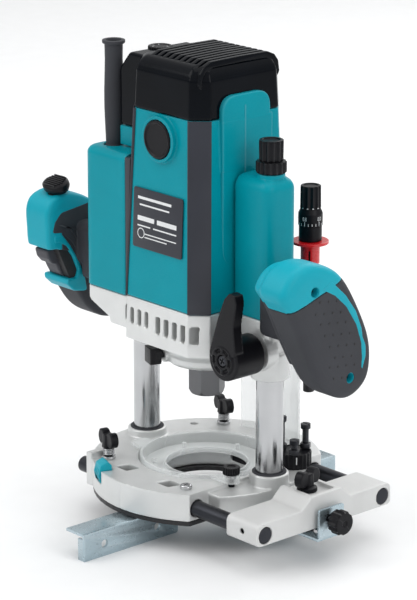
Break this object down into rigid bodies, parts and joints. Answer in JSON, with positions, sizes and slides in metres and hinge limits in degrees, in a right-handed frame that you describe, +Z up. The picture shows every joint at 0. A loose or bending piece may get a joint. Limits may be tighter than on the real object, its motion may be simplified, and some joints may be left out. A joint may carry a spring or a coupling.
{
  "type": "plunge router",
  "caption": "Plunge router: a motor unit with side handles slides on columns over a round base fitted with a straight guide, a depth stop and clear chip guards.",
  "frame": {"origin": "middle of the overall footprint, level with the lower edge of the straight guide", "axes": "+Z up along the spindle, the rating plate faces -Y, the handle with the trigger is at -X and the guide's holder at +X"},
  "size_m": [0.294, 0.25, 0.3525],
  "materials": {
    "cast_aluminium": "satin bead-blasted casting",
    "grey_casting": "fine matte light grey paint",
    "teal_plastic": "satin moulded plastic",
    "handle_teal": "fine matte moulded plastic",
    "gloss_black": "glossy moulded plastic",
    "black_plastic": "satin moulded plastic",
    "grey_trim": "satin moulded plastic",
    "trigger_grey": "matte moulded plastic",
    "grip_rubber": "soft moulded rubber",
    "clear_plastic": "clear moulded plastic",
    "red_plastic": "glossy moulded plastic",
    "bright_steel": "ground and polished",
    "dark_steel": "dark oxide finish",
    "black_steel": "black painted bar",
    "zinc_steel": "bright zinc plate",
    "copper": "turned copper",
    "carbon": "pressed carbon"
  },
  "bodies": {
    "base": {"base_casting": "cast_aluminium", "sole_plate": "black_plastic", "column_left": "bright_steel", "column_right": "bright_steel", "dust_nozzle": "clear_plastic", "chip_deflector": "clear_plastic", "index_clip": "handle_teal", "limit_rod": "bright_steel", "return_spring_left": "bright_steel", "return_spring_right": "bright_steel"},
    "nozzle_screw": {"nozzle_screw": "black_plastic"},
    "template_lock": {"template_lock": "black_plastic"},
    "clamp_bolt_front": {"clamp_bolt_front": "black_plastic"},
    "clamp_bolt_rear": {"clamp_bolt_rear": "black_plastic"},
    "turret": {"turret": "black_plastic", "stop_screw_low": "dark_steel"},
    "stop_screw_tall": {"stop_screw_tall": "dark_steel"},
    "stop_screw_middle": {"stop_screw_middle": "dark_steel"},
    "limit_nut": {"limit_nut": "black_plastic"},
    "limit_knob": {"limit_knob": "black_plastic"},
    "guide": {"guide_rod_front": "dark_steel", "guide_rod_rear": "dark_steel", "guide_holder": "grey_casting"},
    "guide_wing_nut": {"guide_wing_nut": "black_plastic"},
    "straight_guide": {"straight_guide": "zinc_steel"},
    "fine_adjust_knob": {"fine_adjust_knob": "black_plastic"},
    "motor_unit": {"motor_housing": "teal_plastic", "left_tower": "teal_plastic", "right_tower": "teal_plastic", "top_cap": "gloss_black", "corner_strip_left": "grey_trim", "corner_strip_right": "grey_trim", "nameplate": "grey_trim", "brush_cap_front": "black_plastic", "brush_front": "carbon", "brush_cap_rear": "black_plastic", "brush_rear": "carbon", "stator": "dark_steel", "bearing_housing": "cast_aluminium", "bearing_lower": "bright_steel", "bearing_upper": "bright_steel", "cord_guard": "grip_rubber", "handle_right_shell": "handle_teal", "handle_right_grip": "grip_rubber", "handle_left_shell": "handle_teal", "handle_left_grip": "grip_rubber"},
    "speed_dial": {"speed_dial": "black_plastic"},
    "shaft_lock": {"shaft_lock_button": "black_plastic"},
    "lock_lever": {"lock_lever": "black_plastic"},
    "depth_stop": {"depth_pole": "black_steel", "depth_pointer": "red_plastic"},
    "depth_knob": {"depth_knob": "black_plastic"},
    "trigger": {"trigger": "trigger_grey"},
    "lock_off_button": {"lock_off_button": "black_plastic"},
    "spindle": {"spindle_shaft": "bright_steel", "armature_core": "dark_steel", "commutator": "copper", "cooling_fan": "black_plastic", "collet_cone": "bright_steel"},
    "collet_nut": {"collet_nut": "dark_steel"}
  },
  "joints": [
    {"name": "plunge", "type": "slide", "parent": "base", "child": "motor_unit", "axis": [0, 0, 1], "range_m": [-0.07, 0], "stiffness_N_per_m": 350, "springref_m": 0.2, "deforming": ["return_spring_left", "return_spring_right"]},
    {"name": "spindle_spin", "type": "hinge", "parent": "motor_unit", "child": "spindle", "pos_m": [0, 0.006, 0.1715], "axis": [0, 0, 1], "continuous": true},
    {"name": "collet_nut_turn", "type": "hinge", "parent": "spindle", "child": "collet_nut", "pos_m": [0, 0.006, 0.1065], "axis": [0, 0, 1], "continuous": true},
    {"name": "shaft_lock_push", "type": "slide", "parent": "motor_unit", "child": "shaft_lock", "axis": [0.342, 0.9397, 0], "range_m": [0, 0.0025], "stiffness_N_per_m": 300, "springref_m": -0.004},
    {"name": "lock_lever_swing", "type": "hinge", "parent": "motor_unit", "child": "lock_lever", "pos_m": [0.0685, -0.026, 0.1455], "axis": [0, 1, 0], "range_deg": [-30, 12]},
    {"name": "speed_dial_turn", "type": "hinge", "parent": "motor_unit", "child": "speed_dial", "pos_m": [-0.047, 0.003, 0.343], "axis": [0, 0, 1], "range_deg": [-150, 150]},
    {"name": "depth_stop_slide", "type": "slide", "parent": "motor_unit", "child": "depth_stop", "axis": [0, 0, 1], "range_m": [0, 0.0465]},
    {"name": "depth_knob_turn", "type": "hinge", "parent": "depth_stop", "child": "depth_knob", "pos_m": [0.056, 0.056, 0.2335], "axis": [0, 0, 1], "continuous": true},
    {"name": "trigger_pull", "type": "slide", "parent": "motor_unit", "child": "trigger", "axis": [0, 0.77, 0.638], "range_m": [0, 0.003], "stiffness_N_per_m": 400, "springref_m": -0.004},
    {"name": "lock_off_push", "type": "slide", "parent": "motor_unit", "child": "lock_off_button", "axis": [0, 0, -1], "range_m": [0, 0.002], "stiffness_N_per_m": 300, "springref_m": -0.004},
    {"name": "turret_index", "type": "hinge", "parent": "base", "child": "turret", "pos_m": [0.051, 0.0465, 0.0465], "axis": [0, 0, 1], "continuous": true},
    {"name": "stop_screw_tall_turn", "type": "hinge", "parent": "turret", "child": "stop_screw_tall", "pos_m": [0.04203, 0.04232, 0.0615], "axis": [0, 0, 1], "continuous": true},
    {"name": "stop_screw_middle_turn", "type": "hinge", "parent": "turret", "child": "stop_screw_middle", "pos_m": [0.05306, 0.05618, 0.0615], "axis": [0, 0, 1], "continuous": true},
    {"name": "limit_nut_turn", "type": "hinge", "parent": "base", "child": "limit_nut", "pos_m": [0.0675, 0.006, 0.2785], "axis": [0, 0, 1], "continuous": true},
    {"name": "limit_knob_turn", "type": "hinge", "parent": "base", "child": "limit_knob", "pos_m": [0.0675, 0.006, 0.2895], "axis": [0, 0, 1], "continuous": true},
    {"name": "clamp_bolt_front_turn", "type": "hinge", "parent": "base", "child": "clamp_bolt_front", "pos_m": [-0.044, -0.052, 0.0515], "axis": [0, 0, 1], "continuous": true},
    {"name": "clamp_bolt_rear_turn", "type": "hinge", "parent": "base", "child": "clamp_bolt_rear", "pos_m": [-0.045, 0.064, 0.0515], "axis": [0, 0, 1], "continuous": true},
    {"name": "nozzle_screw_turn", "type": "hinge", "parent": "base", "child": "nozzle_screw", "pos_m": [0.054, -0.019, 0.0515], "axis": [0, 0, 1], "continuous": true},
    {"name": "template_lock_slide", "type": "slide", "parent": "base", "child": "template_lock", "axis": [0, 1, 0], "range_m": [0, 0.004], "stiffness_N_per_m": 200, "springref_m": -0.005},
    {"name": "guide_slide", "type": "slide", "parent": "base", "child": "guide", "axis": [1, 0, 0], "range_m": [-0.006, 0.06]},
    {"name": "guide_wing_nut_turn", "type": "hinge", "parent": "guide", "child": "guide_wing_nut", "pos_m": [0.108, 0.005, 0.0515], "axis": [0, 0, 1], "continuous": true},
    {"name": "fence_travel", "type": "slide", "parent": "guide", "child": "straight_guide", "axis": [1, 0, 0], "range_m": [-0.003, 0.003]},
    {"name": "fine_adjust_turn", "type": "hinge", "parent": "straight_guide", "child": "fine_adjust_knob", "pos_m": [0.14, 0.005, 0.0335], "axis": [1, 0, 0], "range_deg": [-720, 720]}
  ],
  "couplings": [
    {"joint": "fine_adjust_turn", "follows": "fence_travel", "rad_per_m": 4188.8},
    {"joint": "depth_stop_slide", "follows": "plunge", "ratio": -0.66}
  ]
}
